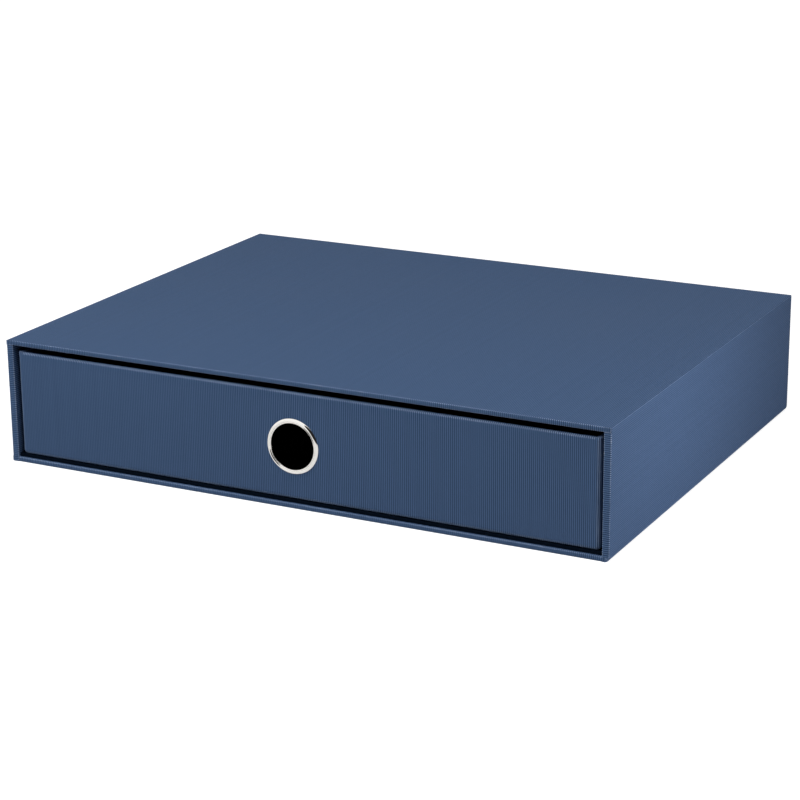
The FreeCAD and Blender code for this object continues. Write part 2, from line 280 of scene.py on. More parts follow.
def wear_and_highlight_group() -> bpy.types.NodeTree:
    """The shader group for rubbed edges and the painted highlight on them.

    Returns:
        The group, with inputs Edge (0 to 1), Vector and Nicks (the share of the edge with rubbed-through
        nicks and painted glints), and outputs Mask, where the edge is rubbed and painted lighter as a
        highlight, and Nick, where it has nicks and painted glints.
    """
    group = new_group(
        "rubbed_edge",
        "ShaderNodeTree",
        {"Edge": "Float", "Vector": "Vector", "Nicks": ("Float", 0.3)},
        {"Mask": "Float", "Nick": "Float"},
    )
    nodes = Nodes(group)
    source = nodes.add("NodeGroupInput").outputs
    slow = nodes.add("ShaderNodeTexNoise", Vector=source["Vector"], Scale=60.0, Detail=3.0)
    fast = nodes.add("ShaderNodeTexNoise", Vector=source["Vector"], Scale=420.0, Detail=2.0)
    floor = nodes.math("SUBTRACT", 1.0, source["Nicks"])
    nick_glint = nodes.ramp(fast, (floor, 1.0))
    result = nodes.add("NodeGroupOutput").inputs
    for name, amount in (("Mask", slow), ("Nick", nick_glint)):
        nodes.feed(result[name], nodes.math("MULTIPLY", source["Edge"], amount))
    return group


@dataclass(frozen=True)
class Colour:
    """A colour as display values from 0 to 255."""

    red: float
    green: float
    blue: float

    def linear(self) -> tuple[float, float, float, float]:
        """The colour as a shader wants it."""
        return (*(self._channel(value / 255) for value in (self.red, self.green, self.blue)), 1.0)

    @staticmethod
    def _channel(value: float) -> float:
        """One channel, from display to linear light."""
        return value / 12.92 if value <= 0.04045 else ((value + 0.055) / 1.055) ** 2.4


@dataclass
class Workshop:
    """What the finishes share: the groups, each built once."""

    fibres: bpy.types.NodeTree = field(default_factory=fibre_group)
    wear_and_highlight: bpy.types.NodeTree = field(default_factory=wear_and_highlight_group)


@dataclass(frozen=True)
class Texture:
    """The fibres or marks of a surface.

    Grain and clouds are counts per metre, smooth and dull the roughness between clouds and in them, and
    strength and depth those of the bumps.
    """

    grain: float
    clouds: float
    smooth: float
    dull: float
    strength: float
    depth: float = 0.02 * MM


class Surface:
    """A material under construction, with the fibres or marks that every finish here has."""

    def __init__(self, name: str, texture: Texture, shop: Workshop) -> None:
        """Starts the material with its roughness and its bumps.

        Args:
            name: the material's name.
            texture: its fibres or marks.
            shop: the shared groups.
        """
        self.material, self.nodes, self.shader = new_material(name)
        self.shop = shop
        self.where = self.nodes.add("ShaderNodeTexCoord").outputs["Object"]
        self.fibres = self.group(shop.fibres, Grain=texture.grain, Cloud=texture.clouds)
        rough = self.nodes.ramp(self.fibres["Cloud"], (0.0, 1.0), (texture.smooth, texture.dull))
        self.give("Roughness", rough)
        bumps = {"Strength": texture.strength, "Distance": texture.depth, "Height": self.fibres["Height"]}
        self.give("Normal", self.nodes.add("ShaderNodeBump", **bumps))

    def give(self, name: str, value: object) -> None:
        """Feeds an input of the shader, by its name."""
        self.nodes.feed(self.shader.inputs[name], value)

    def group(self, tree: bpy.types.NodeTree, **inputs: object) -> bpy.types.bpy_prop_collection:
        """The outputs of a shared group, laid over the piece."""
        return self.nodes.add("ShaderNodeGroup", {"node_tree": tree}, Vector=self.where, **inputs).outputs

    def attribute(self, name: Sheet) -> Socket:
        """The value that a sheet's own mesh holds under a name."""
        settings = {"attribute_name": name.value, "attribute_type": "GEOMETRY"}
        return self.nodes.add("ShaderNodeAttribute", settings).outputs["Fac"]


@dataclass(frozen=True)
class Finish:
    """The finish of a kind of piece."""

    name: str
    texture: Texture

    def make(self, shop: Workshop) -> Material:
        """Builds the material.

        Args:
            shop: the shared groups.

        Returns:
            The material.
        """
        surface = Surface(self.name, self.texture, shop)
        self.colour_in(surface)
        return surface.material

    def colour_in(self, surface: Surface) -> None:
        """Gives the surface its colours and its shine, in each finish's own way."""
        raise NotImplementedError


@dataclass(frozen=True)
class RibbedPaper(Finish):
    """Navy covering paper, embossed with fine ribs: painted shade in its valleys, painted highlight on its
    crests, and edges lighter from wear and painted highlight.
    """

    name: str = "ribbed_navy_paper"
    texture: Texture = Texture(2600.0, 7.0, 0.56, 0.7, 0.35)
    # The valley colour is painted shade in the rib valleys. The crest colour is painted highlight on the
    # crests, with a little wear.
    valley: Colour = Colour(38, 56, 83)
    crest: Colour = Colour(86, 111, 148)
    # The rubbed edges' colour is lighter from wear and as painted highlight. The nicks' colour and share give
    # rubbed-through nicks and painted glints.
    worn_and_highlit: Colour = Colour(158, 177, 208)
    bare_and_glint: Colour = Colour(190, 200, 215)
    nick_glints: float = 0.36
    streaks_per_metre: float = 330.0
    streak_strength: float = 0.05
    speck_strength: float = 0.12
    cloud_strength: float = 0.05
    # How much of the edges' wear and painted highlight the valleys and the crests take.
    valley_wear_and_highlight: float = 0.1
    crest_wear_and_highlight: float = 1.3
    gloss: float = 0.04

    def colour_in(self, surface: Surface) -> None:
        """Paints shade into the valleys and highlight onto the crests, and colours the rubbed edges and the
        nicks with wear and painted highlight.

        Args:
            surface: the surface.
        """
        nodes, fibres = surface.nodes, surface.fibres
        rib, along, edge = (surface.attribute(name) for name in (Sheet.RIB, Sheet.ALONG, Sheet.EDGE))
        wear_and_highlight = surface.group(surface.shop.wear_and_highlight, Edge=edge, Nicks=self.nick_glints)
        line = {"W": along, "Scale": self.streaks_per_metre, "Detail": 3.0}
        streak = nodes.add("ShaderNodeTexNoise", {"noise_dimensions": "1D"}, **line)
        # Painted shade in the rib valleys, painted highlight on the crests.
        body = nodes.mixed(rib, self.valley.linear(), self.crest.linear())
        light = nodes.brightness(
            (streak.outputs[0], self.streak_strength),
            (fibres["Speck"], self.speck_strength),
            (fibres["Cloud"], self.cloud_strength),
        )
        shaded = nodes.add("ShaderNodeHueSaturation", Color=body, Value=light)
        # Edges lightened by wear and painted highlight, mostly on the crests, then nicks and painted glints.
        crests = nodes.math("MULTIPLY_ADD", nodes.math("POWER", rib, 2.0), self.crest_wear_and_highlight, self.valley_wear_and_highlight)
        rubbed_and_highlit = nodes.mixed(nodes.math("MULTIPLY", wear_and_highlight["Mask"], crests), shaded, self.worn_and_highlit.linear())
        surface.give("Base Color", nodes.mixed(wear_and_highlight["Nick"], rubbed_and_highlit, self.bare_and_glint.linear()))
        surface.give("Specular IOR Level", self.gloss)


@dataclass(frozen=True)
class PlainPaper(Finish):
    """Smooth lining paper or card."""

    name: str = "black_lining_paper"
    texture: Texture = Texture(1800.0, 14.0, 0.62, 0.75, 0.3)
    colour: Colour = Colour(17, 17, 19)
    speck: Colour = Colour(30, 30, 33)
    gloss: float = 0.3
    speck_reach: Pair = (0.5, 0.8)

    def colour_in(self, surface: Surface) -> None:
        """Colours the paper and its specks.

        Args:
            surface: the surface.
        """
        specks = surface.nodes.ramp(surface.fibres["Speck"], self.speck_reach)
        surface.give("Base Color", surface.nodes.mixed(specks, self.colour.linear(), self.speck.linear()))
        surface.give("Specular IOR Level", self.gloss)


@dataclass(frozen=True)
class Board(Finish):
    """Raw greyboard, with the pale and dark fibres of waste paper in it."""

    name: str = "raw_greyboard"
    texture: Texture = Texture(900.0, 25.0, 0.8, 0.95, 0.5, 0.05 * MM)
    colour: Colour = Colour(150, 144, 135)
    dark: Colour = Colour(104, 99, 93)
    pale: Colour = Colour(186, 182, 172)
    dark_reach: Pair = (0.55, 0.75)
    pale_reach: Pair = (0.6, 0.8)

    def colour_in(self, surface: Surface) -> None:
        """Colours the board and its fibres.

        Args:
            surface: the surface.
        """
        dark = surface.nodes.ramp(surface.fibres["Speck"], self.dark_reach)
        pale = surface.nodes.ramp(surface.fibres["Height"], self.pale_reach)
        body = surface.nodes.mixed(dark, self.colour.linear(), self.dark.linear())
        surface.give("Base Color", surface.nodes.mixed(pale, body, self.pale.linear()))


@dataclass(frozen=True)
class Metal(Finish):
    """Plated or plain sheet metal, with faint marks from handling."""

    colour: Colour
    cloud_strength: float = 0.06

    def colour_in(self, surface: Surface) -> None:
        """Colours the metal.

        Args:
            surface: the surface.
        """
        light = surface.nodes.brightness((surface.fibres["Cloud"], self.cloud_strength))
        shade = surface.nodes.add("ShaderNodeHueSaturation", Color=self.colour.linear(), Value=light)
        surface.give("Base Color", shade)
        surface.give("Metallic", 1.0)


# Ribbed sheets


@dataclass
class Column:
    """One line across the sheet, where it crosses the outline that the sheet follows.

    Its ends may reach front_room and back_room into the wall, which is thicker than a flat one by extra. Stop
    is 1 where the front end isn't turned in. Opening is half the finger hole's height there, edge says how
    much wear and painted highlight the paper has, and crisp how plain its ribs are, up to 1.
    """

    place: Vector
    inward: Vector
    front_room: float = FAR
    back_room: float = FAR
    extra: float = 0.0
    stop: float = 0.0
    edge: float = 0.0
    opening: float = 0.0
    along: float = 0.0
    crisp: float = 1.0

    def faces_side(self) -> bool:
        """Whether the sheet faces left or right there."""
        return abs(self.inward.x) > 0.5


@dataclass(frozen=True)
class Row:
    """One fold line of the sheet: how far along its run, and how far in from the outline.

    Turn is -1 at the front end and 1 at the back end. Share says how much of the wall's extra thickness is
    added to the inset. Hole is 1 and -1 at the finger hole's rims. Hem is added to the inset of a column that
    isn't turned in.
    """

    run: float
    inset: float
    turn: int = 0
    share: float = 0.0
    edge: float = 0.0
    hole: int = 0
    hem: float = 0.0


COLUMN_VALUES = ("front_room", "back_room", "extra", "stop", "edge", "opening", "along", "crisp")
ROW_VALUES = ("turn", "edge", "hole", "hem")


@dataclass(frozen=True)
class Corner:
    """A corner of an outline, rounded to a radius."""

    place: Vector
    radius: float = 0.0


@dataclass(frozen=True)
class Stretch:
    """A straight piece of an outline, or a rounded corner, which has a radius."""

    length: float
    start: Vector
    heading: Vector
    radius: float = 0.0


def straight(*places: tuple[float, float, float]) -> list[Corner]:
    """Sharp corners at some places."""
    return [Corner(Vector(place)) for place in places]


def walk(corners: list[Corner], inside: Vector, step: float, closed: bool = False) -> list[Column]:
    """Columns at even steps along a rounded outline.

    Args:
        corners: the outline's corners in order; an open one starts and ends at its first and last.
        inside: the axis about which the outline turns clockwise, so that direction x axis points out.
        step: the distance between columns.
        closed: whether the last corner leads back to the first.

    Returns:
        The columns, each with its place and its inward direction, with a little wear and painted highlight in
        a rounded corner.
    """
    count = len(corners)
    stretches = []
    for number in range(count if closed else count - 1):
        here, there = corners[number], corners[(number + 1) % count]
        heading = (there.place - here.place).normalized()
        length = (there.place - here.place).length - here.radius - there.radius
        stretches.append(Stretch(length, here.place + heading * here.radius, heading))
        if there.radius > 0:
            bend = there.place - heading * there.radius
            stretches.append(Stretch(there.radius * math.pi / 2, bend, heading, there.radius))
    total = sum(stretch.length for stretch in stretches)
    steps = round(total / step)
    columns = []
    for number in range(steps if closed else steps + 1):
        distance = total * number / steps
        columns.append(column_at(stretches, inside, distance))
        columns[-1].along = distance
    return columns


def column_at(stretches: list[Stretch], inside: Vector, distance: float) -> Column:
    """The column at a distance along an outline.

    Args:
        stretches: the outline.
        inside: the outline's axis.
        distance: how far along.

    Returns:
        The column.
    """
    for stretch in stretches:
        if distance <= stretch.length + HAIR:
            break
        distance -= stretch.length
    heading, radius = stretch.heading, stretch.radius
    outward = heading.cross(inside)
    if radius == 0:
        return Column(stretch.start + heading * min(distance, stretch.length), -outward)
    angle = min(distance / radius, math.pi / 2)
    centre = stretch.start - outward * radius
    normal = outward * math.cos(angle) + heading * math.sin(angle)
    # The corner's wear and painted highlight, strongest half way round.
    edge = (EDGE_WEAR_AND_HIGHLIGHT + EDGE_WEAR_AND_HIGHLIGHT_PER_MM * radius / MM) * math.sin(2 * angle)
    return Column(centre + normal * radius, -normal, radius, radius, stop=1.0, edge=edge)


def arc_rows(
    centre: Pair, radius: float, start: float, end: float, steps: int, turn: int, share: float = 0.0
) -> list[Row]:
    """Rows round a fold.

    Args:
        centre: the fold's run and inset.
        radius: its radius.
        start: the first angle in degrees, 0 along the run and 90 towards the outside.
        end: the last angle.
        steps: how many rows, less one.
        turn: which end of the sheet the fold is on.
        share: the share of the wall's extra thickness there.

    Returns:
        The rows.
    """
    rows = []
    for number, angle in enumerate(angles(start, end, steps)):
        run, inset = centre[0] + radius * math.cos(angle), centre[1] - radius * math.sin(angle)
        # The edge value, highest half way round the fold, is where wear and painted highlight go.
        rows.append(Row(run, inset, turn, share, math.sin(math.pi * number / steps)))
    return rows


def bare_object(name: str, points: list[Vector], values: dict[str, list[float]]) -> Thing:
    """An object of loose points that carry values.

    Args:
        name: the object's name.
        points: where the points are.
        values: a list of numbers for each name.

    Returns:
        The object.
    """
    mesh = bpy.data.meshes.new(name)
    mesh.from_pydata([tuple(point) for point in points], [], [])
    for label, numbers in values.items():
        mesh.attributes.new(label, "FLOAT", "POINT").data.foreach_set("value", numbers)
    return linked(name, mesh)


class RibTree:
    """The tree of Geometry Nodes that lays rows across columns and presses the ribs in."""

    LEAST_DEPTH = 0.65
    CUT = 0.99

    def __init__(self) -> None:
        """Builds the tree once, for every sheet."""
        self.tree = new_group(
            "ribbed_sheet",
            "GeometryNodeTree",
            {
                "Geometry": "Geometry",
                "Folds": "Object",
                "Run": "Vector",
                "Face": "Float",
                "Closed": ("Int", 0),
                "Pitch": ("Float", 1.0 * MM),
                "Relief": ("Float", 0.1 * MM),
                "Sharpness": ("Float", 1.2),
                "Seed": ("Float", 3.0),
                "Paper": "Material",
            },
            {"Geometry": "Geometry"},
        )
        self.nodes = Nodes(self.tree)
        self.source = self.nodes.add("NodeGroupInput").outputs
        self.build()

    def named(self, name: str) -> Socket:
        """The value under a name, as a field."""
        node = self.nodes.add("GeometryNodeInputNamedAttribute", {"data_type": "FLOAT"}, Name=name)
        return node.outputs["Attribute"]

    def sampled(self, geometry: object, value: object, index: object, kind: str = "FLOAT") -> Socket:
        """A value of one point of another geometry.

        Args:
            geometry: where to look.
            value: the field to read there.
            index: which point.
            kind: FLOAT or FLOAT_VECTOR.

        Returns:
            The value's socket.
        """
        settings = {"data_type": kind, "domain": "POINT"}
        inputs = {"Geometry": geometry, "Value": value, "Index": index}
        return self.nodes.add("GeometryNodeSampleIndex", settings, **inputs).outputs[0]

    def count(self, geometry: object) -> Socket:
        """How many points a geometry has."""
        return self.nodes.add("GeometryNodeAttributeDomainSize", Geometry=geometry).outputs["Point Count"]

    def build(self) -> None:
        """Makes the nodes: a grid, the places of its points, the values that they keep, and the rest."""
        nodes, source = self.nodes, self.source
        outline = source["Geometry"]
        folds = nodes.add("GeometryNodeObjectInfo", Object=source["Folds"]).outputs["Geometry"]
        columns, rows = self.count(outline), self.count(folds)
        across = nodes.math("ADD", columns, source["Closed"])
        grid = nodes.add("GeometryNodeMeshGrid", Size_X=1.0, Size_Y=1.0, Vertices_X=across, Vertices_Y=rows)
        index = nodes.add("GeometryNodeInputIndex")
        column = nodes.math("FLOOR", nodes.math("DIVIDE", index, rows))
        row = nodes.math("SUBTRACT", index, nodes.math("MULTIPLY", column, rows))
        column = nodes.math("MODULO", column, columns)
        place = nodes.add("GeometryNodeInputPosition")
        fold_place = self.sampled(folds, place, row, "FLOAT_VECTOR")
        fold = nodes.add("ShaderNodeSeparateXYZ", Vector=fold_place).outputs
        turn, row_edge, hole, hem = (self.sampled(folds, self.named(name), row) for name in ROW_VALUES)
        kept = {name: self.sampled(outline, self.named(name), column) for name in COLUMN_VALUES}
        inward = {axis: self.sampled(outline, self.named(f"inward_{axis}"), column) for axis in "XYZ"}

        front = nodes.math("LESS_THAN", turn, -0.5)
        back = nodes.math("GREATER_THAN", turn, 0.5)
        limits = [
            nodes.math("MULTIPLY_ADD", end, nodes.math("SUBTRACT", kept[room], FAR), FAR)
            for end, room in ((front, "front_room"), (back, "back_room"))
        ]
        halted = nodes.math("MULTIPLY", front, kept["stop"])
        flat = nodes.math("MULTIPLY_ADD", halted, hem, fold["Y"])
        inset = nodes.math("MINIMUM", flat, nodes.math("MINIMUM", *limits))
        inset = nodes.math("MULTIPLY_ADD", fold["Z"], kept["extra"], inset)
        run = nodes.math("MULTIPLY_ADD", hole, kept["opening"], fold["X"])
        run = nodes.math("MULTIPLY_ADD", halted, nodes.math("SUBTRACT", source["Face"], run), run)
        spot = self.sampled(outline, place, column, "FLOAT_VECTOR")
        for direction, length in ((source["Run"], run), (nodes.add("ShaderNodeCombineXYZ", **inward), inset)):
            step = nodes.scaled(direction, length)
            spot = nodes.add("ShaderNodeVectorMath", {"operation": "ADD"}, in_0=spot, in_1=step)

        valley, deep = self.valley(kept["along"])
        crisp = nodes.math("MAXIMUM", kept["crisp"], front)
        sheet = nodes.add("GeometryNodeSetPosition", Geometry=grid, Position=spot)
        for name, value in (
            (Sheet.ALONG.value, kept["along"]),
            (Sheet.EDGE.value, nodes.math("MAXIMUM", row_edge, kept["edge"])),
            (Sheet.RIB.value, nodes.math("MULTIPLY_ADD", nodes.math("SUBTRACT", 0.5, valley), crisp, 0.5)),
            ("press", nodes.math("MULTIPLY", nodes.math("MULTIPLY", valley, deep), crisp)),
            ("slit", nodes.math("ABSOLUTE", hole)),
        ):
            settings = {"data_type": "FLOAT", "domain": "POINT"}
            inputs = {"Geometry": sheet, "Name": name, "Value": value}
            sheet = nodes.add("GeometryNodeStoreNamedAttribute", settings, **inputs)
        self.finish(sheet)

    def finish(self, sheet: bpy.types.Node) -> None:
        """Cuts the finger hole, closes the seams, presses the ribs in and puts the paper on.

        Args:
            sheet: the node that gives the laid sheet.
        """
        nodes, source = self.nodes, self.source
        slit = nodes.math("GREATER_THAN", self.named("slit"), self.CUT)
        depth = nodes.math("MULTIPLY", self.named("press"), nodes.math("MULTIPLY", source["Relief"], -1.0))
        pressed = nodes.scaled(nodes.add("GeometryNodeInputNormal"), depth)
        for kind, settings, inputs in (
            ("GeometryNodeDeleteGeometry", {"domain": "FACE"}, {"Selection": slit}),
            ("GeometryNodeMergeByDistance", {}, {"Distance": WELD}),
            ("GeometryNodeSetPosition", {}, {"Offset": pressed}),
            ("GeometryNodeSetShadeSmooth", {}, {"Shade_Smooth": True}),
            ("GeometryNodeRealizeInstances", {}, {}),
            ("GeometryNodeSetMaterial", {}, {"Material": source["Paper"]}),
            ("NodeGroupOutput", {}, {}),
        ):
            sheet = nodes.add(kind, settings, Geometry=sheet, **inputs)

    def valley(self, along: Socket) -> tuple[Socket, Socket]:
        """How low the paper is across a rib, and how deep that rib is pressed.

        Args:
            along: the distance along the outline.

        Returns:
            1 in a valley and 0 on a crest, and the rib's own depth, up to 1.
        """
        nodes = self.nodes
        turns = nodes.math("DIVIDE", along, self.source["Pitch"])
        wave = nodes.math("COSINE", nodes.math("MULTIPLY", turns, math.tau))
        half = nodes.math("MULTIPLY_ADD", wave, 0.5, 0.5)
        seat = nodes.add("ShaderNodeCombineXYZ", X=nodes.math("ROUND", turns), Y=self.source["Seed"])
        uneven = nodes.add("ShaderNodeTexWhiteNoise", {"noise_dimensions": "2D"}, Vector=seat)
        deep = nodes.math("MULTIPLY_ADD", uneven.outputs["Value"], 1.0 - self.LEAST_DEPTH, self.LEAST_DEPTH)
        return nodes.math("POWER", nodes.math("MAXIMUM", half, 0.0), self.source["Sharpness"]), deep


@dataclass(frozen=True)
class Ribs:
    """The embossing of the covering paper."""

    pitch: float = 1.01 * MM
    relief: float = 0.15 * MM
    sharpness: float = 1.2
    steps: int = 5

    def fitted(self, length: float) -> Ribs:
        """The same ribs, a whole number of which go into a length."""
        return replace(self, pitch=length / round(length / self.pitch))


@dataclass(frozen=True)
class Plan:
    """What one sheet is made from: its outline, its folds, the direction of its lines and its embossing.

    Face is where along the run a column ends that isn't turned in. No point lies in front of front. Closed is
    for an outline that comes back to its start.
    """

    columns: list[Column]
    rows: list[Row]
    run: Vector
    ribs: Ribs
    face: float = 0.0
    front: float = -FAR
    closed: bool = False


@dataclass
class SheetMaker:
    """Turns plans into sheets of ribbed paper."""

    paper: Material
    tree: RibTree = field(default_factory=RibTree)

    def lay(self, name: str, node: str, body: Body, plan: Plan) -> None:
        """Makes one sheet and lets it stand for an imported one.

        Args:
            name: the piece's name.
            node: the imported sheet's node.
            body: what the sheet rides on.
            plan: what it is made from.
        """
        columns, rows, ribs = plan.columns, plan.rows, plan.ribs
        values = {key: [getattr(column, key) for column in columns] for key in COLUMN_VALUES}
        for axis, letter in enumerate("XYZ"):
            values[f"inward_{letter}"] = [column.inward[axis] for column in columns]
        sheet = bare_object(name, [column.place for column in columns], values)
        folds = bare_object(
            f"{name}.folds",
            [Vector((row.run, row.inset, row.share)) for row in rows],
            {key: [float(getattr(row, key)) for row in rows] for key in ROW_VALUES},
        )
        modifier = sheet.modifiers.new("ribs", "NODES")
        modifier.node_group = self.tree.tree
        given = {
            "Folds": folds,
            "Run": plan.run,
            "Face": plan.face,
            "Closed": int(plan.closed),
            "Pitch": ribs.pitch,
            "Relief": ribs.relief,
            "Sharpness": ribs.sharpness,
            "Paper": self.paper,
        }
        for item in self.tree.tree.interface.items_tree:
            if item.in_out == "INPUT" and item.name in given:
                modifier[item.identifier] = given[item.name]
        settled(sheet)
        bpy.data.objects.remove(folds)
        for vertex in sheet.data.vertices:
            vertex.co.y = max(vertex.co.y, plan.front)
        settle_on(sheet, body, node)


def settled(thing: Thing) -> None:
    """Turns the result of an object's modifiers into its plain mesh.

    Args:
        thing: the object.
    """
    thing.update_tag()
    graph = bpy.context.evaluated_depsgraph_get()
    shown = thing.evaluated_get(graph)
    mesh = bpy.data.meshes.new_from_object(shown, preserve_all_data_layers=True, depsgraph=graph)
    thing.modifiers.clear()
    thing.data = mesh
    mesh.name = thing.name


def settle_on(piece: Thing, body: Body, node: str) -> None:
    """Lets a piece ride on a body and hides the node that it stands for.

    Args:
        piece: the piece.
        body: what it rides on.
        node: the node that it replaces.
    """
    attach(piece, body.value)
    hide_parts(node)
    LOG.info("%s on %s: %d faces, for %s", piece.name, body.value, len(piece.data.polygons), node)


# The two sub-assemblies


@dataclass
class Wall:
    """A wall of the box: its paper, a flat wall's thickness, and how near a fold the next row lies."""

    paper: float = 0.3 * MM
    flat: float = 2.6 * MM
    support: float = 0.3 * MM


@dataclass
class CaseWrap:
    """The paper on the case: the cover, the sheet under the base and the sheet on the back."""

    maker: SheetMaker
    wall: Wall = field(default_factory=Wall)
    side_extra: float = 1.2 * MM
    edge_radius: float = 0.5 * MM
    mouth_radius: float = 0.6 * MM
    soft_radius: float = 2.4 * MM
    turn_in: float = 15 * MM
    flange: float = 15 * MM
    rear_turn: float = 4 * MM
    seam: float = 0.12 * MM
    side_crisp: float = 0.45
    flat_crisp: float = 0.75
    ribs: Ribs = field(default_factory=Ribs)

    def build(self) -> None:
        """Builds the three sheets and puts them in place of the plain ones."""
        low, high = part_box("case_cover_sheet")
        corners = [
            Corner(Vector((low.x + self.flange, 0, low.z))),
            Corner(Vector((low.x, 0, low.z)), self.edge_radius),
            Corner(Vector((low.x, 0, high.z)), self.edge_radius),
            Corner(Vector((high.x, 0, high.z)), self.edge_radius),
            Corner(Vector((high.x, 0, low.z)), self.soft_radius),
            Corner(Vector((high.x - self.flange, 0, low.z))),
        ]
        gap = high.x - low.x - 2 * self.flange
        around = 2 * (high.z - low.z) + 2 * (high.x - low.x)
        around -= (2 - math.pi / 2) * (3 * self.edge_radius + self.soft_radius)
        ribs = self.ribs.fitted(around)
        step = ribs.pitch / ribs.steps
        cover = walk(corners, Y, step)
        for column in cover:
            self.limit(column, low, high)
        plan = Plan(cover, self.rows(low.y, high.y), Y, ribs, face=low.y, front=low.y)
        self.maker.lay("case_cover_paper", "case_cover_sheet", Body.CASE, plan)

        left = low.x + self.flange
        base = walk(straight((left + gap, 0, low.z), (left, 0, low.z)), Y, step)
        for column in base:
            column.along += around - gap
        self.maker.lay("case_base_paper", "case_base_sheet", Body.CASE, replace(plan, columns=base))

        low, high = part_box("case_rear_sheet")
        rear = walk(straight((high.x, high.y, 0), (low.x, high.y, 0)), Z, step)
        paper, support = self.wall.paper, self.wall.support
        rows = [Row(low.z, paper), Row(low.z, 0), Row(low.z + support, 0)]
        rows += [Row(high.z - support, 0), Row(high.z, 0), Row(high.z, paper)]
        self.maker.lay("case_rear_paper", "case_rear_sheet", Body.CASE, Plan(rear, rows, Z, ribs))

    def rows(self, front: float, rear: float) -> list[Row]:
        """The folds from inside the mouth, over the front edge and along the case, on to the back.

        Args:
            front: the front plane.
            rear: the rear plane.

        Returns:
            The rows.
        """
        wall, mouth, edge = self.wall, self.mouth_radius, self.edge_radius
        inner = wall.flat
        return [
            Row(front + self.turn_in, inner - wall.paper, -1, 1, hem=wall.paper),
            Row(front + self.turn_in, inner, -1, 1),
            Row(front + mouth + wall.support, inner, -1, 1),
            *arc_rows((front + mouth, inner - mouth), mouth, 270, 180, 3, -1, 1),
            *arc_rows((front + edge, edge), edge, 180, 90, 3, -1),
            Row(front + edge + wall.support, 0),
            Row(rear - edge - wall.support, 0),
            *arc_rows((rear - edge, edge), edge, 90, 0, 3, 1),
            Row(rear, edge + wall.support, 1),
            Row(rear, self.rear_turn, 1),
            Row(rear - wall.paper, self.rear_turn, 1),
        ]

    def limit(self, column: Column, low: Vector, high: Vector) -> None:
        """Says how far in a column of the cover reaches at each end, so that its neighbours meet it.

        Args:
            column: the column, changed in place.
            low: the case's lowest corner.
            high: its highest corner.
        """
        flat, side = self.wall.flat, self.wall.flat + self.side_extra
        x, z = abs(column.place.x - (low.x + high.x) / 2), column.place.z
        out = (high.x - low.x) / 2
        if column.stop:
            return
        if column.faces_side():
            column.extra, column.crisp = self.side_extra, self.side_crisp
            column.back_room = min(z - low.z, high.z - z)
            if z > high.z - flat - self.seam:
                column.extra, column.stop, column.front_room = 0.0, 1.0, self.edge_radius
            elif z < low.z + flat:
                column.stop = 1.0
        else:
            column.back_room, column.crisp = out - x, self.flat_crisp
            if x > out - side:
                column.stop = 1.0
                if z < (low.z + high.z) / 2:
                    column.front_room = self.soft_radius if column.place.x > 0 else self.edge_radius


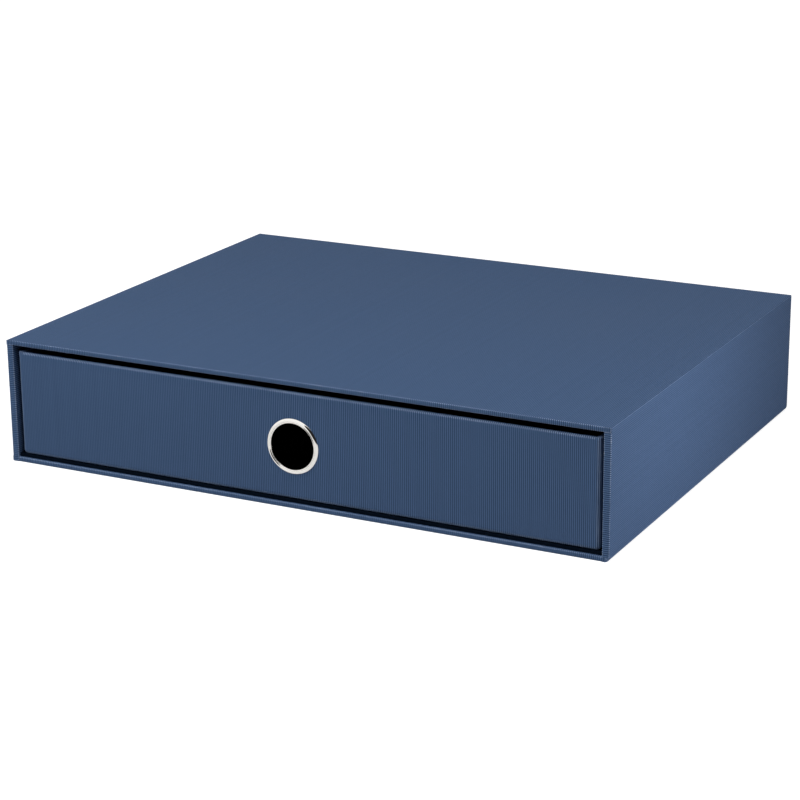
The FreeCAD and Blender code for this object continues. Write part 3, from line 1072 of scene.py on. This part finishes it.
@dataclass
class TrayWrap:
    """The paper on the drawer: round its walls and rim, and under its floor."""

    maker: SheetMaker
    wall: Wall = field(default_factory=Wall)
    fold: float = 2.2 * MM
    rim: float = 1.2 * MM
    inner_rim: float = 0.8 * MM
    lining_top: float = 47.4 * MM
    flange: float = 15 * MM
    hole: float = 12.3 * MM
    least_crisp: float = 0.25
    middle_crisp: float = 0.85
    crisp_reach: float = 220 * MM
    base_steps: int = 4
    ribs: Ribs = field(default_factory=Ribs)

    def build(self) -> None:
        """Builds the two sheets and puts them in place of the plain ones."""
        low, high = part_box("tray_cover_sheet")
        ring_low, ring_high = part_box("pull_ring")
        middle = (ring_low + ring_high) / 2
        corners = [
            Corner(Vector((0, high.y, 0))),
            Corner(Vector((high.x, high.y, 0)), self.fold),
            Corner(Vector((high.x, low.y, 0)), self.fold),
            Corner(Vector((low.x, low.y, 0)), self.fold),
            Corner(Vector((low.x, high.y, 0)), self.fold),
        ]
        around = 2 * (high.x - low.x) + 2 * (high.y - low.y) - (8 - math.tau) * self.fold
        ribs = self.ribs.fitted(around)
        columns = walk(corners, -Z, ribs.pitch / ribs.steps, closed=True)
        for column in columns:
            self.limit(column, low, high, middle.x)
        plan = Plan(columns, self.rows(low.z, high.z, middle.z), Z, ribs, face=high.z, closed=True)
        self.maker.lay("tray_cover_paper", "tray_cover_sheet", Body.DRAWER, plan)

        low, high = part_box("tray_base_sheet")
        base = walk(straight((high.x, 0, low.z), (low.x, 0, low.z)), Y, ribs.pitch / self.base_steps)
        plan = Plan(base, [Row(low.y, 0), Row(high.y, 0)], Y, ribs)
        self.maker.lay("tray_base_paper", "tray_base_sheet", Body.DRAWER, plan)

    def rows(self, bottom: float, top: float, centre: float) -> list[Row]:
        """The folds from inside the tray, over the rim, down the wall and under the floor.

        Args:
            bottom: the underside.
            top: the rim.
            centre: the height of the finger hole.

        Returns:
            The rows.
        """
        wall, rim, inner, fold = self.wall, self.rim, self.inner_rim, self.fold
        return [
            Row(self.lining_top, wall.flat - wall.paper, -1, hem=wall.paper),
            Row(self.lining_top, wall.flat, -1),
            Row(top - inner - wall.support, wall.flat, -1),
            *arc_rows((top - inner, wall.flat - inner), inner, 270, 360, 2, -1),
            *arc_rows((top - rim, rim), rim, 0, 90, 3, -1),
            Row(top - rim - wall.support, 0),
            Row(centre, 0, hole=1),
            Row(centre, 0, hole=-1),
            Row(bottom + fold + wall.support, 0),
            *arc_rows((bottom + fold, fold), fold, 90, 180, 3, 1),
            Row(bottom, self.flange, 1),
        ]

    def limit(self, column: Column, low: Vector, high: Vector, centre: float) -> None:
        """Says how far in a column reaches before it meets the next wall's, and where the hole opens it.

        Args:
            column: the column, changed in place.
            low: the tray's lowest corner.
            high: its highest corner.
            centre: the middle of the finger hole, across the front.
        """
        place = column.place
        if column.inward.y > 0.5:
            crisp = self.middle_crisp + place.x / self.crisp_reach
            column.crisp = min(1.0, max(self.least_crisp, crisp))
        if column.stop:
            return
        if column.faces_side():
            room = min(place.y - low.y, high.y - place.y)
        else:
            room = min(place.x - low.x, high.x - place.x)
            if column.inward.y > 0:
                column.opening = math.sqrt(max(0.0, self.hole**2 - (place.x - centre) ** 2))
        column.back_room = column.front_room = room
        if room < self.wall.flat:
            column.stop = 1.0


@dataclass
class FingerRing:
    """The nickel-plated eyelet in the finger hole: domed flange, groove, lip, barrel and rolled rear edge.

    Radii come first, then distances along Y, then the powers that shape the curves.
    """

    metal: Material
    outer: float = 14.25 * MM
    roll: float = 13.55 * MM
    crown: float = 12.9 * MM
    groove: float = 12.4 * MM
    groove_step: float = 0.05 * MM
    barrel: float = 12.15 * MM
    lip: float = 12.15 * MM
    bore: float = 11.75 * MM
    flange_height: float = 0.95 * MM
    groove_edge: float = 0.5 * MM
    groove_floor: float = 0.54 * MM
    groove_wall: float = 0.3 * MM
    lip_start: float = 0.16 * MM
    lip_reach: float = 0.55 * MM
    bore_end: float = 0.45 * MM
    dome_power: float = 1.25
    groove_power: float = 1.7
    roll_power: float = 0.8
    segments: int = 144

    def build(self) -> None:
        """Turns the ring and lets it stand for the plain one."""
        low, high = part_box("pull_ring")
        washer_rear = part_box("ring_washer")[1].y
        middle = (low + high) / 2
        profile = self.profile(low.y, low.y + self.flange_height, washer_rear, high.y)
        ring = turned("finger_ring", profile, Vector((middle.x, 0, middle.z)), self.segments, self.metal)
        settle_on(ring, Body.DRAWER, "pull_ring")

    def profile(self, top: float, seat: float, washer: float, rear: float) -> Profile:
        """The ring's closed outline.

        Args:
            top: how far forward the crown reaches.
            seat: the front of the drawer.
            washer: the rear of the washer.
            rear: the rear of the rolled edge.

        Returns:
            Radius and Y, from the flange's outer edge over the crown and through the bore.
        """
        points = []
        for angle in angles(0, 90, 10):
            across, rise = math.cos(angle) ** self.dome_power, math.sin(angle) ** self.dome_power
            points.append((self.crown + (self.outer - self.crown) * across, seat + (top - seat) * rise))
        for number in range(1, 8):
            share = number / 7
            radius = self.crown + (self.groove - self.crown) * share
            points.append((radius, top + self.groove_edge * share**self.groove_power))
        points.append((self.groove - self.groove_step, top + self.groove_floor))
        points.append((self.groove - 2 * self.groove_step, top + self.groove_wall))
        for angle in angles(90, 180, 8):
            radius = self.bore + (self.lip - self.bore) * (1 + math.cos(angle))
            points.append((radius, top + self.lip_start + self.lip_reach * (1 - math.sin(angle))))
        points.append((self.bore, rear - self.bore_end))
        half = (self.roll - self.bore) / 2
        for angle in angles(180, 0, 12)[1:]:
            bulge = (rear - washer) * math.sin(angle) ** self.roll_power
            points.append((self.bore + half + half * math.cos(angle), washer + bulge))
        return [*points, (self.barrel, washer), (self.barrel, seat)]


def turned(name: str, profile: Profile, middle: Vector, segments: int, material: Material) -> Thing:
    """A solid turned about a line along Y.

    Args:
        name: the piece's name.
        profile: radius and Y of the closed outline.
        middle: a point of the line.
        segments: how many steps round.
        material: its finish.

    Returns:
        The piece.
    """
    shape = bmesh.new()
    loops = []
    for number in range(segments):
        angle = math.tau * number / segments
        across = X * math.cos(angle) + Z * math.sin(angle)
        loops.append([shape.verts.new(middle + across * radius + Y * run) for radius, run in profile])
    for number, loop in enumerate(loops):
        following = loops[(number + 1) % segments]
        for place in range(len(profile)):
            after = (place + 1) % len(profile)
            shape.faces.new((loop[place], loop[after], following[after], following[place]))
    bmesh.ops.recalc_face_normals(shape, faces=shape.faces)
    for face in shape.faces:
        face.smooth = True
    mesh = bpy.data.meshes.new(name)
    shape.to_mesh(mesh)
    shape.free()
    mesh.materials.append(material)
    return linked(name, mesh)


@dataclass
class Carried:
    """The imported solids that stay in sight, and the finish for each of their slots."""

    KINDS = {
        "washer": Slot.WASHER,
        "lining": Slot.LINING,
        "card": Slot.CARD,
        "board": Slot.BOARD,
        "liner": Slot.BOARD,
    }

    nodes: dict[str, Thing]
    finishes: dict[Slot, Material]

    def dress(self) -> None:
        """Gives each solid the finish of its kind."""
        for name, node in self.nodes.items():
            slot = self.slot_of(name)
            if slot is None:
                continue
            for holder in node.material_slots:
                holder.material = self.finishes[slot]
            LOG.info("%s in %s", name, self.finishes[slot].name)

    def slot_of(self, name: str) -> Slot | None:
        """The slot of a solid that stays in sight, by its name, or None for one that is replaced."""
        return next((slot for kind, slot in self.KINDS.items() if kind in name), None)


# The studio


@dataclass(frozen=True)
class Shot:
    """Where the camera stands, with its angles in degrees and its lens and sensor in millimetres."""

    azimuth: float = 27.259
    elevation: float = 17.537
    roll: float = -0.486
    place: tuple[float, float, float] = (0.54824, -1.07649, 0.400951)
    lens: float = 107.615
    sensor: float = 36.0
    nearest: float = 0.05
    farthest: float = 30.0

    def take(self) -> None:
        """Makes the scene's camera."""
        data = bpy.data.cameras.new("camera")
        data.lens, data.sensor_width, data.sensor_fit = self.lens, self.sensor, "HORIZONTAL"
        data.clip_start, data.clip_end = self.nearest, self.farthest
        turn, lift, tilt = (math.radians(angle) for angle in (self.azimuth, self.elevation, self.roll))
        back = Vector((math.sin(turn) * math.cos(lift), -math.cos(turn) * math.cos(lift), math.sin(lift)))
        right = Vector((math.cos(turn), math.sin(turn), 0))
        up = back.cross(right)
        level = right * math.cos(tilt) + up * math.sin(tilt)
        rise = up * math.cos(tilt) - right * math.sin(tilt)
        camera = linked("camera", data)
        axes = Matrix((level, rise, back)).transposed().to_4x4()
        camera.matrix_world = Matrix.Translation(self.place) @ axes
        bpy.context.scene.camera = camera


@dataclass(frozen=True)
class SoftBox:
    """A soft lamp that no reflection shows."""

    name: str
    place: tuple[float, float, float]
    size: float
    power: float
    colour: tuple[float, float, float] = (1.0, 1.0, 1.0)

    def hang(self, target: Vector) -> None:
        """Puts the lamp up, turned to a point.

        Args:
            target: what it lights.
        """
        data = bpy.data.lights.new(self.name, "AREA")
        data.shape, data.size, data.energy, data.color = "DISK", self.size, self.power, self.colour
        lamp = linked(self.name, data)
        lamp.visible_camera = lamp.visible_glossy = False
        place = Vector(self.place)
        turn = (place - target).to_track_quat("Z", "Y").to_matrix().to_4x4()
        lamp.matrix_world = Matrix.Translation(place) @ turn


@dataclass(frozen=True)
class Studio:
    """A white floor, white surroundings and soft lamps."""

    lamps: tuple[SoftBox, ...] = (
        SoftBox("key_left", (-0.48, -0.95, 0.9), 0.5, 10.7),
        SoftBox("right", (0.41, -0.07, 0.09), 0.12, 0.6, (1.0, 0.95, 0.94)),
        SoftBox("top", (0.2, -0.3, 0.9), 0.55, 3.05),
        SoftBox("rear", (-0.3, 1.1, 0.22), 0.4, 3.5),
    )
    aim: tuple[float, float, float] = (0.0, 0.0, 0.03)
    ambient: float = 0.08
    floor_half: float = 6.0
    floor_glow: float = 0.85
    floor_shine: float = 0.42
    floor_grey: float = 0.45
    glow_reach: Pair = (0.4, 1.6)
    dark_sky: float = 0.02
    dark_reach: Pair = (0.62, 0.66)
    dark_corner: tuple[float, float, float] = (0.75, -0.65, 0.1)

    def set_up(self) -> None:
        """Builds the floor, the surroundings and the lamps."""
        for lamp in self.lamps:
            lamp.hang(Vector(self.aim))
        self.surround()
        self.lay_floor()
        bpy.context.scene.view_settings.view_transform = "Standard"

    def surround(self) -> None:
        """White past the floor, with one dark corner in reflections, and little light of its own."""
        world = bpy.data.worlds.new("surroundings")
        world.use_nodes = True
        bpy.context.scene.world = world
        nodes = Nodes(world.node_tree)
        background = world.node_tree.nodes["Background"].inputs
        path = nodes.add("ShaderNodeLightPath").outputs
        sight = nodes.add("ShaderNodeTexCoord").outputs["Generated"]
        heading = nodes.add("ShaderNodeSeparateXYZ", Vector=sight).outputs
        towards = nodes.math("MULTIPLY", heading["X"], self.dark_corner[0])
        for axis, share in zip("YZ", self.dark_corner[1:]):
            towards = nodes.math("MULTIPLY_ADD", heading[axis], share, towards)
        ceiling = nodes.ramp(towards, self.dark_reach, (1.0, self.dark_sky))
        mirrored = nodes.math("MAXIMUM", path["Is Glossy Ray"], path["Is Transmission Ray"])
        soft = nodes.math("MULTIPLY_ADD", path["Is Camera Ray"], 1.0 - self.ambient, self.ambient)
        rest = nodes.math("SUBTRACT", ceiling, soft)
        nodes.feed(background["Color"], WHITE)
        nodes.feed(background["Strength"], nodes.math("MULTIPLY_ADD", mirrored, rest, soft))

    def lay_floor(self) -> None:
        """A wide floor that is white to the camera and keeps the shadow."""
        half = self.floor_half
        mesh = bpy.data.meshes.new("floor")
        places = [(-half, -half, 0), (half, -half, 0), (half, half, 0), (-half, half, 0)]
        mesh.from_pydata(places, [], [(0, 1, 2, 3)])
        floor = linked("floor", mesh)
        material, nodes, shader = new_material("white_floor")
        path = nodes.add("ShaderNodeLightPath").outputs
        shine = nodes.math("MULTIPLY", path["Is Glossy Ray"], self.floor_shine)
        spot = nodes.add("ShaderNodeTexCoord").outputs["Object"]
        away = nodes.add("ShaderNodeVectorMath", {"operation": "LENGTH"}, Vector=spot).outputs["Value"]
        plain = nodes.ramp(away, self.glow_reach, (self.floor_glow, 1.0))
        for name, value in {
            "Base Color": (*[self.floor_grey] * 3, 1.0),
            "Roughness": 0.9,
            "Specular IOR Level": 0.1,
            "Emission Color": WHITE,
            "Emission Strength": nodes.math("MULTIPLY_ADD", path["Is Camera Ray"], plain, shine),
        }.items():
            nodes.feed(shader.inputs[name], value)
        mesh.materials.append(material)


def main() -> None:
    """Builds the studio, the papers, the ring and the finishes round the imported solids."""
    logging.basicConfig(level=logging.INFO, format="%(name)s: %(message)s")
    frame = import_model()
    shop = Workshop()
    Shot().take()
    Studio().set_up()
    maker = SheetMaker(RibbedPaper().make(shop))
    CaseWrap(maker).build()
    TrayWrap(maker).build()
    polished = Texture(1500.0, 90.0, 0.05, 0.09, 0.02, 0.01 * MM)
    FingerRing(Metal("polished_nickel", polished, Colour(243, 241, 237)).make(shop)).build()
    brushed = replace(polished, smooth=0.3, dull=0.42, strength=0.4)
    lining = PlainPaper()
    # The slide card's near-black navy is painted shade: its front edge stands in for the shadow in the gap
    # under the drawer.
    card = PlainPaper(
        "black_slide_card", replace(lining.texture, smooth=0.7), Colour(5, 13, 24), Colour(9, 20, 34), 0.03
    )
    finishes = {
        Slot.BOARD: Board(),
        Slot.LINING: lining,
        Slot.CARD: card,
        Slot.WASHER: Metal("brushed_steel", brushed, Colour(178, 178, 176)),
    }
    Carried(frame["nodes"], {slot: finish.make(shop) for slot, finish in finishes.items()}).dress()


if __name__ == "__main__":
    main()
